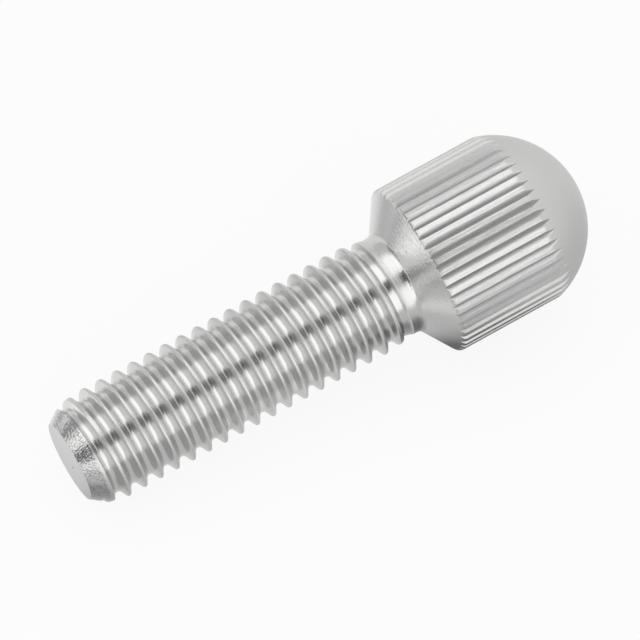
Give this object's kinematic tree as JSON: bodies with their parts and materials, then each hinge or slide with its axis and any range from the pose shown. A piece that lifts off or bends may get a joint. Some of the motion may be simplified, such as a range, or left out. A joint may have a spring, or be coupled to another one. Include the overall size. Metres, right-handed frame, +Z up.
{
  "type": "knurled thumb screw",
  "caption": "Thumb screw with a round-ended, straight-knurled head, a cone shoulder, a plain neck and a coarse metric thread, lying at rest on its side.",
  "frame": {"origin": "on the surface that the screw lies on, under the middle of its bounding box", "axes": "+X from the tip towards the head, along the lying screw seen from above; +Z up; the screw's own axis rises 5.21 degrees towards the head"},
  "size_m": [0.0396, 0.0122, 0.0129],
  "materials": {
    "steel": "pale stainless steel: rolled and bright on the thread and neck, turned on the tip chamfer, satin on the knurl and shoulder, matt on the dome"
  },
  "bodies": {
    "root": {"thumb_screw": "steel"}
  },
  "joints": []
}
